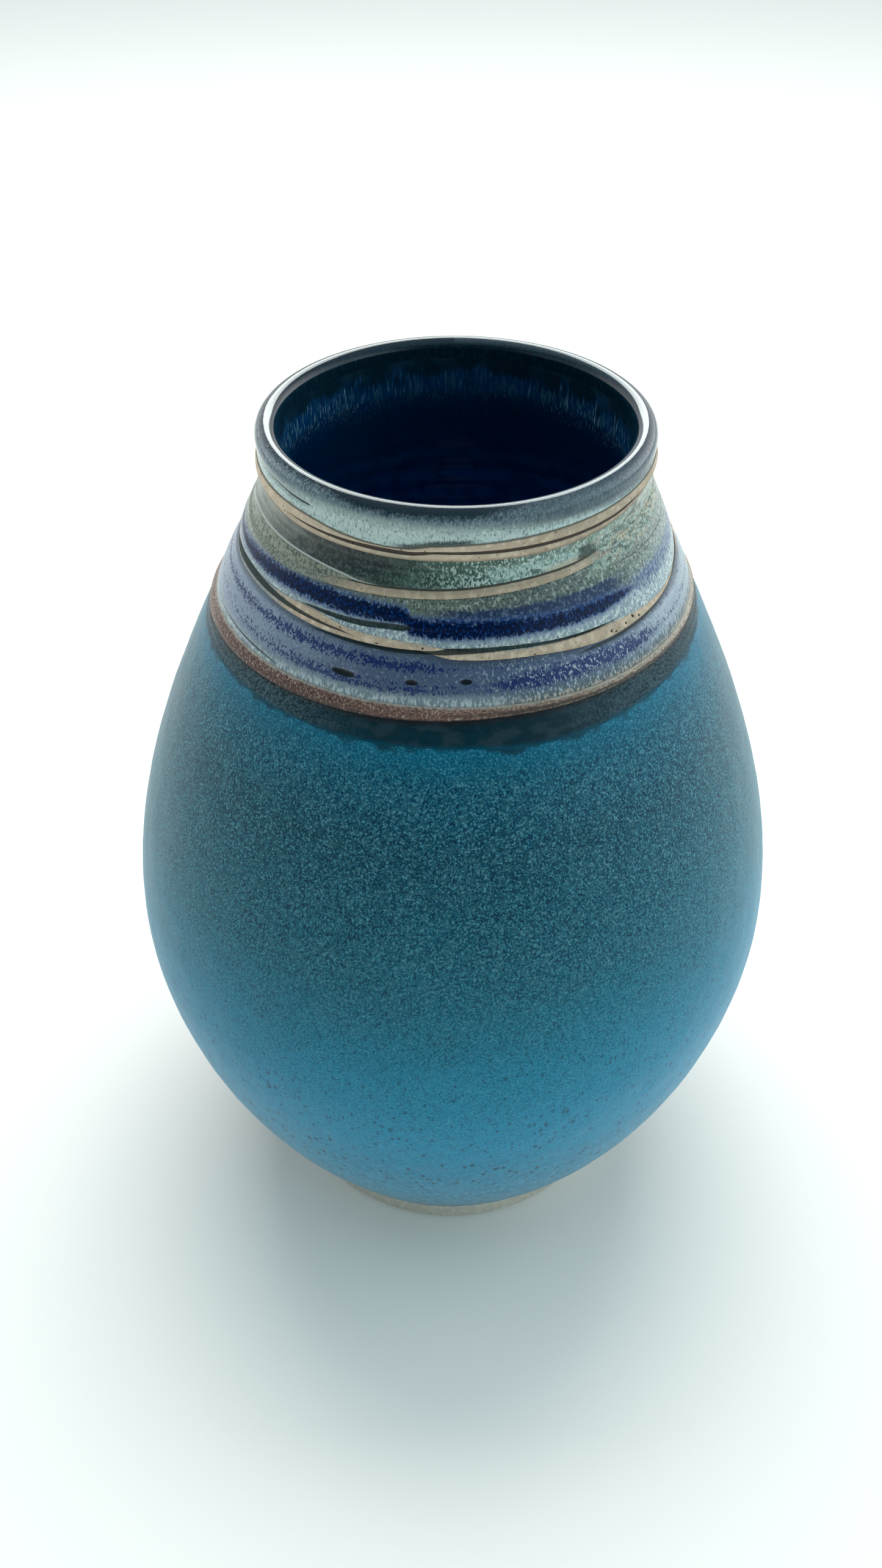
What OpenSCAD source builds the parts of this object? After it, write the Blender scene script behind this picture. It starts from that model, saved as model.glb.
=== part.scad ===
// Stoneware vase: an ovoid thrown body with a short collar neck, a turned foot ring
// and bands of glaze. Millimetres, +Z up, origin at the centre of the foot's underside.
// Outer and inner sizes are finished sizes, measured over the fired glaze.

/* [Body] */
// Height from the foot to the crest of the lip
total_h = 230; // [190:5:280]
// Diameter of the belly at its widest
belly_d = 164.6; // [130:1:210]
// Height of the widest point above the foot
belly_z = 100; // [80:1:125]
// Finished wall thickness at the belly
wall = 6.4; // [4.5:0.1:9]
// Height of the inside floor above the foot
floor_z = 12; // [9:0.5:20]
// Radius where the inside floor turns up into the wall
floor_round = 16; // [6:1:24]
// Roundness of the body between the foot and the belly
lower_swell = 1.87; // [1.5:0.01:2.4]
// How gently the body lifts off the foot
foot_sweep = 1.08; // [1:0.01:1.3]
// Roundness of the shoulder between the belly and the neck
upper_swell = 1.84; // [1.5:0.01:2.2]
// How gently the shoulder sweeps up into the neck
neck_sweep = 1.25; // [1:0.01:1.5]

/* [Foot] */
// Diameter of the foot ring
foot_d = 105.2; // [80:1:128]
// Height of bare clay between the foot's underside and the glaze edge
foot_h = 6.5; // [5:0.5:10]
// Width of the foot ring across its flat
foot_w = 8; // [6:0.5:12]
// Depth of the recess turned out under the base
recess_h = 4; // [2:0.5:4.5]
// Chamfer on both edges of the foot ring
foot_edge = 1.2; // [0.5:0.1:2]
// How far the glaze edge stands proud of the clay foot
glaze_roll = 0.4; // [0.1:0.1:0.6]

/* [Neck and lip] */
// Outer diameter of the collar neck
collar_d = 80.6; // [66:0.2:98]
// Height of the straight collar, from the shoulder to the crest of the lip
collar_h = 11.4; // [9:0.2:14]
// Radius of the lip on its outer side
lip_out = 2.4; // [2:0.1:3]
// Radius of the lip on its inner side
lip_in = 2.1; // [1.5:0.1:2.5]

/* [Glaze bands, from the lip down] */
// Thickness of every glaze coat
coat_t = 0.8; // [0.4:0.1:1]
// How far the lip glaze runs down the outside, below the lip's rounding
lip_skirt_out = 1; // [0.2:0.1:1.5]
// How far the lip glaze runs down the inside, below the lip's rounding
lip_skirt_in = 1.9; // [1:0.1:4]
// Height of the celadon band under the lip glaze
celadon_h = 3.2; // [2:0.1:4.5]
// Height of the upper bare ridge
ridge_1_h = 3.2; // [2.5:0.1:4.5]
// Height of the green band
green_h = 5.2; // [4:0.1:7]
// Height of the middle bare ridge
ridge_2_h = 1.7; // [1.2:0.1:2.5]
// Height of the cobalt band
cobalt_h = 7.1; // [5:0.1:9]
// Height of the lower bare ridge
ridge_3_h = 2.2; // [1.5:0.1:3]
// Height of the lavender band
lavender_h = 8.7; // [7:0.1:11]
// Height of the copper line
copper_h = 2.5; // [1.8:0.1:3.5]
// Height of the dark iron band
iron_h = 5; // [3.5:0.1:6.5]
// Height of the drip band inside the neck
drip_h = 20; // [14:1:24]

/* [Throwing relief] */
// How far the upper bare ridge stands proud
ridge_1_rise = 0.4; // [0:0.1:1]
// How far the middle bare ridge stands proud
ridge_2_rise = 0.4; // [0:0.1:1]
// How far the lower bare ridge stands proud
ridge_3_rise = 0.4; // [0:0.1:1]
// How far the copper line stands proud
copper_rise = 0.5; // [0:0.1:1]
// How far the green band is hollowed
green_dip = 0.3; // [0:0.1:0.6]
// How far the cobalt band swells
cobalt_rise = 0.4; // [0:0.1:1]
// How far the lavender band swells
lavender_rise = 0.4; // [0:0.1:1]
// Depth of the line cut round the upper ridge
incised_d = 0.5; // [0.2:0.1:0.8]
// Width of the line cut round the upper ridge
incised_w = 0.8; // [0.4:0.1:1.2]

/* [Hidden] */
$fn = 128;

arc_steps = 8;      // segments in each quarter round
band_steps = 6;     // segments up each narrow band
body_steps = 40;    // segments up the turquoise band
inner_steps = 44;   // segments up the inside wall

belly_r = belly_d / 2;
foot_r = foot_d / 2;
collar_r = collar_d / 2;
neck_wall = lip_out + lip_in;
neck_z = total_h - collar_h;

// Lower edge of each outside band, stacked down from the crest of the lip.
lip_z = total_h - lip_out - lip_skirt_out;
celadon_z = lip_z - celadon_h;
ridge_1_z = celadon_z - ridge_1_h;
green_z = ridge_1_z - green_h;
ridge_2_z = green_z - ridge_2_h;
cobalt_z = ridge_2_z - cobalt_h;
ridge_3_z = cobalt_z - ridge_3_h;
lavender_z = ridge_3_z - lavender_h;
copper_z = lavender_z - copper_h;
iron_z = copper_z - iron_h;
lip_inner_z = total_h - lip_in - lip_skirt_in;
drip_z = lip_inner_z - drip_h;
corner_z = floor_z + floor_round;

// Finished outer radius at height z, without the throwing relief.
function lower_r(u) = foot_r + (belly_r - foot_r) * pow(1 - pow(1 - u, lower_swell), foot_sweep);
function upper_r(u) = collar_r + (belly_r - collar_r) * pow(1 - pow(u, upper_swell), neck_sweep);
function outer_r(z) =
    z >= neck_z ? collar_r
  : z >= belly_z ? upper_r((z - belly_z) / (neck_z - belly_z))
  : z > foot_h ? lower_r((z - foot_h) / (belly_z - foot_h))
  : foot_r;

// Finished inner radius at height z: the wall thins from the belly to the neck.
function thin(z) = max(0, min(1, (z - belly_z) / (neck_z - belly_z)));
function inner_r(z) = outer_r(z) - wall - (neck_wall - wall) * thin(z);

// Outer outline of a band from z0 up to z1, swelling by rise halfway, set in by t.
function band(z0, z1, rise, t, steps) = [
    for (i = [0 : steps])
        let (z = z0 + (z1 - z0) * i / steps)
        [outer_r(z) + rise * sin(180 * i / steps) - t, z]
];
function turned(points) = [for (i = [len(points) - 1 : -1 : 0]) points[i]];

// The upper ridge carries a V-shaped line cut halfway up its face.
function cut_ridge(z0, z1, rise) =
    let (z = (z0 + z1) / 2)
    [
        for (p = [
            [z0, 0],
            [z - incised_w, rise],
            [z - incised_w / 2, rise],
            [z, rise - incised_d],
            [z + incised_w / 2, rise],
            [z + incised_w, rise],
            [z1, 0]
        ]) [outer_r(p[0]) + p[1], p[0]]
    ];

// Quarter round about [cx, cz], from angle a0 to angle a1.
function arc(cx, cz, r, a0, a1) = [
    for (i = [0 : arc_steps])
        let (a = a0 + (a1 - a0) * i / arc_steps)
        [cx + r * cos(a), cz + r * sin(a)]
];

// The lip, from the outer face over the crest to the inner face, set in by t.
function lip(t) = concat(
    [[collar_r - t, lip_z]],
    arc(collar_r - lip_out, total_h - lip_out, lip_out - t, 0, 90),
    arc(collar_r - lip_out, total_h - lip_in, lip_in - t, 90, 180),
    [[collar_r - neck_wall + t, lip_inner_z]]
);

// Inside wall between two heights, going up, with its face set back into the clay by t.
function inside(z0, z1, t, steps) = [
    for (i = [0 : steps])
        let (z = z0 + (z1 - z0) * i / steps)
        [inner_r(z) + t, z]
];

// Inside floor from the axis outward, its rounded corner and the wall up to the drips.
function liner_line(t) = concat(
    [[0, floor_z - t]],
    arc(inner_r(corner_z) - floor_round, corner_z, floor_round + t, -90, 0),
    inside(corner_z, drip_z, t, inner_steps)
);

// Leaves out a point that repeats the one before it.
function clean(points) = [
    for (i = [0 : len(points) - 1])
        if (i == 0 || norm(points[i] - points[i - 1]) > 0.001) points[i]
];

module revolve(points) {
    rotate_extrude() polygon(clean(points));
}

// A coat of glaze between its outer face and the clay behind it.
module coat(face, back) {
    revolve(concat(face, turned(back)));
}

// A coat that covers one outside band.
module band_coat(z0, z1, rise, steps) {
    coat(band(z0, z1, rise, 0, steps), band(z0, z1, rise, coat_t, steps));
}

module thrown_wall() {
    base = [
        [0, recess_h],
        [foot_r - foot_w, recess_h],
        [foot_r - foot_w, foot_h]
    ];
    outside = concat(
        band(foot_h, iron_z, 0, coat_t, body_steps),
        band(iron_z, copper_z, 0, coat_t, band_steps),
        band(copper_z, lavender_z, copper_rise, coat_t, band_steps),
        band(lavender_z, ridge_3_z, lavender_rise, coat_t, band_steps),
        band(ridge_3_z, cobalt_z, ridge_3_rise, 0, band_steps),
        band(cobalt_z, ridge_2_z, cobalt_rise, coat_t, band_steps),
        band(ridge_2_z, green_z, ridge_2_rise, 0, band_steps),
        band(green_z, ridge_1_z, -green_dip, coat_t, band_steps),
        cut_ridge(ridge_1_z, celadon_z, ridge_1_rise),
        band(celadon_z, lip_z, 0, coat_t, 1)
    );
    hollow = concat(liner_line(coat_t), inside(drip_z, lip_inner_z, coat_t, band_steps));
    color("wheat") revolve(concat(base, outside, lip(coat_t), turned(hollow)));
}

module foot_ring() {
    inner = foot_r - foot_w;
    color("navajowhite") revolve([
        [inner, foot_h],
        [inner, foot_edge],
        [inner + foot_edge, 0],
        [foot_r - foot_edge, 0],
        [foot_r, foot_edge],
        [foot_r - glaze_roll, foot_h]
    ]);
}

module liner_glaze() {
    color("midnightblue") coat(liner_line(coat_t), liner_line(0));
}

module inner_drip_glaze() {
    color("slategray") coat(
        inside(drip_z, lip_inner_z, coat_t, band_steps),
        inside(drip_z, lip_inner_z, 0, band_steps)
    );
}

module lip_glaze() {
    color("darkslategray") coat(lip(0), lip(coat_t));
}

module celadon_glaze() {
    color("lightcyan") band_coat(celadon_z, lip_z, 0, 1);
}

module green_glaze() {
    color("darkseagreen") band_coat(green_z, ridge_1_z, -green_dip, band_steps);
}

module cobalt_glaze() {
    color("royalblue") band_coat(cobalt_z, ridge_2_z, cobalt_rise, band_steps);
}

module lavender_glaze() {
    color("lightsteelblue") band_coat(lavender_z, ridge_3_z, lavender_rise, band_steps);
}

module copper_line() {
    color("sienna") band_coat(copper_z, lavender_z, copper_rise, band_steps);
}

module iron_band() {
    color("darkslategray") band_coat(iron_z, copper_z, 0, band_steps);
}

module turquoise_glaze() {
    color("cadetblue") band_coat(foot_h, iron_z, 0, body_steps);
}

thrown_wall();
foot_ring();
liner_glaze();
inner_drip_glaze();
lip_glaze();
celadon_glaze();
green_glaze();
cobalt_glaze();
lavender_glaze();
copper_line();
iron_band();
turquoise_glaze();
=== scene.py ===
"""Stoneware vase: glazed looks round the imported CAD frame.

Sizes are in millimetres until a mesh is made. Angles are in degrees round the vase: 0 faces -Y, 90 faces
+X. Colours are 0..255 display values until they reach a shader.
Depths are measured down from the crest of the lip, the way the glaze bands are stacked.
"""
import math

import bmesh
import bpy
import numpy as np
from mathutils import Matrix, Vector, noise


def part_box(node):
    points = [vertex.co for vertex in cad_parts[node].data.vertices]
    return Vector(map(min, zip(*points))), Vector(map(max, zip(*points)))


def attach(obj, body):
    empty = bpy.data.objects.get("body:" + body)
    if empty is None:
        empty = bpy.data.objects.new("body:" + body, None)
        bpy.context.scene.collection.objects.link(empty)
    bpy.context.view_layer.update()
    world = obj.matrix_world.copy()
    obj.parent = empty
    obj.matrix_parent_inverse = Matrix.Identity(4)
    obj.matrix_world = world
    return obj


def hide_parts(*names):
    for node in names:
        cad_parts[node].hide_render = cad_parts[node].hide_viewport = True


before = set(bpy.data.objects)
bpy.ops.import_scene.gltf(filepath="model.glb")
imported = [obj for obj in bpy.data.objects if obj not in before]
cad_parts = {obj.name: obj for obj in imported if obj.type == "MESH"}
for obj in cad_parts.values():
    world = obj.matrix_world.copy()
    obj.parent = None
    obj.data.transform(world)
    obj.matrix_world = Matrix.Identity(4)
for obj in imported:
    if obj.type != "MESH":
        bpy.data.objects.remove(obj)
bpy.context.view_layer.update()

MM = 0.001
SEGMENTS = 640
TURN = 360.0
ANGLES = np.arange(SEGMENTS) * TURN / SEGMENTS - 180.0
SIN, COS = np.sin(np.radians(ANGLES)), np.cos(np.radians(ANGLES))


# ---------------------------------------------------------------- sizes from the frame

def high(node):
    """Height of a CAD node's highest point."""
    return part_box(node)[1].z / MM


def radius(node):
    """Largest radius of a CAD node."""
    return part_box(node)[1].x / MM


CREST = high("lip_glaze")
FOOT_H = high("foot_ring")
FOOT_R = radius("foot_ring")
BELLY_R = radius("turquoise_glaze")
COLLAR_R = radius("lip_glaze")
DRIP_Z = high("liner_glaze")
LIP_INNER_Z = high("inner_drip_glaze")

# Design values that a box doesn't give, as in the CAD model.
BELLY_Z = 100.0
COLLAR_H = 11.4
LOWER_SWELL, FOOT_SWEEP = 1.87, 1.08
UPPER_SWELL, NECK_SWEEP = 1.84, 1.25
WALL, LIP_OUT, LIP_IN = 6.4, 2.4, 2.1
FLOOR_Z, FLOOR_ROUND = 12.0, 16.0
FOOT_W, RECESS_H, FOOT_EDGE, GLAZE_ROLL = 8.0, 4.0, 1.2, 0.4
COAT_T = 0.8
NECK_Z = CREST - COLLAR_H
NECK_WALL = LIP_OUT + LIP_IN
CREST_R = COLLAR_R - LIP_OUT
RIDGE_RISE, COPPER_RISE, BAND_RISE, GREEN_DIP = 0.4, 0.5, 0.4, 0.3


def outer_r(z):
    """Finished outer radius at height z, before the throwing relief."""
    z = np.asarray(z, float)
    up = np.clip((z - BELLY_Z) / (NECK_Z - BELLY_Z), 0, 1)
    down = np.clip((z - FOOT_H) / (BELLY_Z - FOOT_H), 0, 1)
    upper = COLLAR_R + (BELLY_R - COLLAR_R) * (1 - up ** UPPER_SWELL) ** NECK_SWEEP
    lower = FOOT_R + (BELLY_R - FOOT_R) * (1 - (1 - down) ** LOWER_SWELL) ** FOOT_SWEEP
    return np.where(z >= BELLY_Z, upper, lower)


def inner_r(z):
    """Finished inner radius at height z: the wall thins towards the neck."""
    thin = np.clip((np.asarray(z, float) - BELLY_Z) / (NECK_Z - BELLY_Z), 0, 1)
    return outer_r(z) - WALL - (NECK_WALL - WALL) * thin


# ---------------------------------------------------------------- what wanders round the vase

class Wander:
    """A value that changes smoothly round the vase, given at a few angles as (angle, value) pairs."""

    def __init__(self, *points):
        self.points = sorted(points)
        values = [v for _, v in points]
        margin = 1.0 + max(values) - min(values)
        self.lowest, self.span = min(values) - margin, 3 * margin
        self._table = None

    def curve_node(self, tree):
        """A Float Curve node that gives this value, scaled to 0..1, for an angle scaled to 0..1."""
        node = tree.nodes.new("ShaderNodeFloatCurve")
        curve = node.mapping.curves[0]
        first, last = self.points[0], self.points[-1]
        around = [(last[0] - TURN, last[1]), *self.points, (first[0] + TURN, first[1])]
        edge = np.interp(-180.0, [a for a, _ in around], [v for _, v in around])
        inside = [p for p in self.points if -180.0 < p[0] < 180.0]
        places = [((a + 180.0) / TURN, (v - self.lowest) / self.span)
                  for a, v in [(-180.0, edge), *inside, (180.0, edge)]]
        for place in places[2:]:
            curve.points.new(*place)
        for point, place in zip(curve.points, places):
            point.location = place
            point.handle_type = "AUTO_CLAMPED"
        node.mapping.use_clip = False
        node.mapping.update()
        return node

    def at(self, angle):
        """The value at one angle or an array of angles."""
        if self._table is None:
            group = bpy.data.node_groups.new("wander", "ShaderNodeTree")
            node = self.curve_node(group)
            curve = node.mapping.curves[0]
            steps = np.linspace(0, 1, SEGMENTS + 1)
            values = [node.mapping.evaluate(curve, float(s)) for s in steps]
            self._table = np.array(values) * self.span + self.lowest
            bpy.data.node_groups.remove(group)
        share = (np.asarray(angle, float) + 180.0) / TURN
        return np.interp(share, np.linspace(0, 1, SEGMENTS + 1), self._table)


class Stroke:
    """A line cut into the surface, or standing on it: where it runs, how wide it is and how deep."""

    def __init__(self, centre, half, depth, colour):
        self.centre, self.half, self.depth, self.colour = centre, half, depth, colour
        shown = [c for a, c in centre.points if half.at(a) > 0.02]
        self.top, self.bottom = min(shown) - 1.0, max(shown) + 1.0


class Spot:
    """An oval pit or blotch: its angle, its depth down, half its width and height, and how deep it is."""

    def __init__(self, angle, depth, half_w, half_h, pit, colour):
        self.angle, self.depth, self.half_w, self.half_h = angle, depth, half_w, half_h
        self.pit, self.colour = pit, colour


def srgb(red, green, blue):
    """A colour given as 0..255 display values, in the linear values that a shader uses."""
    shares = [c / 255 for c in (red, green, blue)]
    linear = [v / 12.92 if v <= 10 / 255 else ((v + 0.055) / 1.055) ** 2.4 for v in shares]
    return (*linear, 1.0)


# Lower edge of each band, as a depth below the crest of the lip.
LIP_EDGE = Wander((-180, 3.5), (-100, 3.3), (-20, 3.5), (60, 3.3), (120, 3.6))
CELADON_EDGE = Wander(
    (-180, 5.6), (-120, 6.0), (-60, 6.3), (-45, 6.5), (-32, 7.4), (-18, 7.9), (-6, 6.8), (18, 5.9),
    (42, 5.3), (66, 4.8), (110, 4.8))
RIDGE_1_EDGE = Wander(
    (-180, 8.8), (-120, 9.0), (-64, 9.3), (-45, 10.0), (-20, 10.0), (0, 9.8), (18, 9.8), (36, 9.3),
    (55, 8.3), (67, 7.4), (110, 7.4))
GREEN_EDGE = Wander(
    (-180, 14.8), (-140, 16.2), (-90, 17.6), (-61, 17.5), (-45, 17.0), (-30, 16.1), (0, 15.1), (17, 14.3),
    (35, 13.6), (44, 12.8), (67, 12.2), (90, 12.2), (140, 13.2))
RIDGE_2_EDGE = Wander(
    (-180, 16.4), (-140, 17.7), (-90, 18.9), (-61, 18.9), (-45, 18.4), (-30, 17.5), (0, 16.5), (17, 15.8),
    (35, 15.0), (44, 14.2), (67, 13.5), (90, 13.7), (140, 14.8))
COBALT_EDGE = Wander(
    (-180, 24.4), (-130, 24.6), (-90, 24.6), (-60, 23.6), (-40, 23.1), (-27, 24.0), (-10, 24.4), (0, 25.4),
    (17, 26.0), (34, 26.1), (42, 26.4), (55, 27.1), (65, 27.4), (90, 26.6))
RIDGE_3_EDGE = Wander(
    (-180, 26.2), (-130, 26.3), (-90, 26.0), (-60, 25.4), (-27, 25.7), (-10, 25.8), (0, 26.8), (17, 27.2),
    (34, 28.2), (42, 28.5), (55, 28.4), (65, 28.3), (90, 27.6))
LAVENDER_EDGE = Wander(
    (-180, 36.8), (-110, 37.4), (-84, 37.3), (-70, 36.5), (-45, 35.8), (-25, 35.2), (0, 34.8), (17, 35.0),
    (42, 35.3), (67, 35.6), (100, 35.9))
COPPER_EDGE = Wander(
    (-180, 39.6), (-120, 41.3), (-86, 41.3), (-70, 40.0), (-45, 38.8), (-20, 37.9), (0, 37.3), (17, 36.9),
    (42, 36.9), (67, 37.1), (100, 37.6))
IRON_EDGE = Wander(
    (-180, 41.6), (-120, 43.8), (-90, 43.5), (-70, 43.0), (-45, 42.5), (-20, 42.3), (0, 42.0), (17, 42.5),
    (42, 41.8), (67, 40.8), (86, 39.6), (120, 39.6))
FOOT_EDGE_WAVE = Wander((-180, 0.1), (-110, -0.2), (-50, 0.15), (0, 0.3), (40, 0.0), (90, 0.25), (140, -0.15))

DARK_GREEN = (10, 34, 34)
DARK_BROWN = (34, 24, 22)
PALE_LINE = (178, 186, 180)
OVAL = (18, 26, 32)

STROKES = [
    # short groove under the lip, on the left
    Stroke(Wander((-78, 3.7), (-58, 4.0), (-43, 4.6)),
           Wander((-80, 0), (-74, 0.24), (-58, 0.34), (-44, 0.26), (-41, 0)), 0.4, (24, 34, 38)),
    # line cut round the upper ridge, in three lengths
    Stroke(Wander((-180, 7.4), (-110, 8.0), (-49, 8.5), (-15, 8.6), (-8, 8.2), (-5, 8.0), (18, 7.9),
                  (42, 7.6), (57, 7.0), (72, 6.2), (110, 6.3)),
           Wander((-60, 0), (-54, 0.1), (-44, 0.3), (-18, 0.44), (-9, 0.4), (-6.5, 0.3), (-4, 0.32),
                  (20, 0.42), (45, 0.4), (60, 0.3), (70, 0), (84, 0), (110, 0.2), (-150, 0.2), (-90, 0.12),
                  (-80, 0)),
           0.4, DARK_BROWN),
    # pale fine ridge across the green band, on the left
    Stroke(Wander((-95, 15.4), (-81, 15.0), (-70, 14.5), (-47, 14.6), (-32, 15.0), (-20, 15.6), (-10, 15.6)),
           Wander((-110, 0), (-85, 0.22), (-45, 0.24), (-22, 0.16), (-12, 0)), -0.3, PALE_LINE),
    # thin groove along the top of the middle ridge
    Stroke(Wander(*[(a, d - 0.1) for a, d in GREEN_EDGE.points]),
           Wander((-70, 0), (-34, 0), (-26, 0.18), (20, 0.24), (34, 0.2), (48, 0), (120, 0.1), (170, 0)),
           0.22, (58, 62, 56)),
    # fine line on the right of the olive zone
    Stroke(Wander((40, 16.6), (55, 17.3), (85, 17.8), (110, 17.8)),
           Wander((38, 0), (50, 0.14), (90, 0.16), (118, 0)), 0.2, (70, 78, 74)),
    # dark green groove under the cobalt, on the left
    Stroke(Wander((-44, 23.0), (-38, 22.8), (-25, 22.5), (-11, 22.0)),
           Wander((-46, 0), (-38, 0.3), (-24, 0.6), (-13, 0.62), (-10.5, 0)), 0.5, DARK_GREEN),
    # three long grooves beside the lower ridge, which overlap as they climb
    Stroke(Wander((-120, 26.2), (-89, 25.5), (-76, 24.8), (-60, 24.2), (-45, 24.4), (-27, 24.8), (-18, 25.0)),
           Wander((-130, 0), (-105, 0.3), (-76, 0.5), (-60, 0.55), (-45, 0.46), (-30, 0.22), (-20, 0)),
           0.6, DARK_GREEN),
    Stroke(Wander((-40, 26.2), (-34, 26.1), (-20, 26.1), (-7, 25.8), (5, 25.4), (25, 25.8), (40, 26.1)),
           Wander((-42, 0), (-34, 0.2), (-20, 0.36), (5, 0.48), (25, 0.34), (40, 0.16), (50, 0)),
           0.5, DARK_GREEN),
    Stroke(Wander((24, 29.0), (42, 28.9), (61, 28.3), (77, 27.5), (86, 26.9), (110, 26.2), (150, 26.4),
                  (-150, 26.9)),
           Wander((24, 0), (34, 0.26), (60, 0.34), (86, 0.36), (120, 0.25), (135, 0.05), (150, 0.25),
                  (-165, 0.3), (-140, 0)), 0.6, (40, 50, 52)),
    # dark line above the copper, on the left
    Stroke(Wander((-80, 35.6), (-67, 35.0), (-52, 34.9), (-42, 35.2)),
           Wander((-84, 0), (-70, 0.16), (-52, 0.26), (-45, 0.2), (-42, 0)), 0.25, (58, 72, 78)),
]

SPOTS = [Spot(*spot) for spot in (
    # ovals pressed into the lavender band
    (-26, 31.5, 3.2, 0.62, 0.5, OVAL), (-10, 30.9, 1.5, 0.55, 0.4, OVAL), (2, 30.4, 1.4, 0.5, 0.35, OVAL),
    (104, 31.0, 2.2, 0.5, 0.4, OVAL), (-150, 31.2, 1.4, 0.5, 0.4, OVAL), (165, 30.6, 1.1, 0.45, 0.35, OVAL),
    # pits in the lower ridge
    (39, 27.3, 0.3, 0.25, 0.25, DARK_BROWN), (40.5, 27.8, 0.35, 0.22, 0.25, DARK_BROWN),
    (44, 27.3, 0.28, 0.22, 0.2, DARK_BROWN), (47, 27.0, 0.4, 0.26, 0.25, DARK_BROWN),
    (49, 27.5, 0.3, 0.3, 0.25, DARK_BROWN), (-19, 25.2, 0.5, 0.16, 0.15, DARK_BROWN),
    (-8, 25.0, 0.25, 0.2, 0.15, DARK_BROWN), (18, 27.0, 0.22, 0.2, 0.15, DARK_BROWN),
)]


# ---------------------------------------------------------------- numbers and colours in a material

class Num:
    """A number that varies over a surface: one output in a material's node tree."""

    def __init__(self, tree, socket):
        self.tree, self.socket = tree, socket

    def op(self, operation, *others):
        node = self.tree.nodes.new("ShaderNodeMath")
        node.operation = operation
        for place, value in zip(node.inputs, (self, *others)):
            join(value, place)
        return Num(self.tree, node.outputs[0])

    def __add__(self, other):
        return self.op("ADD", other)

    def __sub__(self, other):
        return self.op("SUBTRACT", other)

    def __mul__(self, other):
        return self.op("MULTIPLY", other)

    def __truediv__(self, other):
        return self.op("DIVIDE", other)

    def __abs__(self):
        return self.op("ABSOLUTE")

    def least(self, other):
        return self.op("MINIMUM", other)

    def most(self, other):
        return self.op("MAXIMUM", other)


def join(value, place):
    """Feeds a socket from a varying number, or sets it to a constant. Three numbers are a display colour."""
    if isinstance(value, Num):
        value.tree.links.new(value.socket, place)
    elif isinstance(value, tuple) and len(value) == 3:
        place.default_value = srgb(*value)
    else:
        place.default_value = value


def fade(value, start, end):
    """0 where the value is at start, 1 where it is at end, and smooth between."""
    node = value.tree.nodes.new("ShaderNodeMapRange")
    node.interpolation_type = "SMOOTHSTEP"
    for place, number in zip(node.inputs, (value, start, end, 0.0, 1.0)):
        join(number, place)
    return Num(value.tree, node.outputs[0])


def mix(under, over, share):
    """Under, covered by over where share is 1."""
    node = share.tree.nodes.new("ShaderNodeMix")
    node.data_type = "RGBA"
    join(share, node.inputs[0])
    join(under, node.inputs[6])
    join(over, node.inputs[7])
    return Num(share.tree, node.outputs[2])


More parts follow.
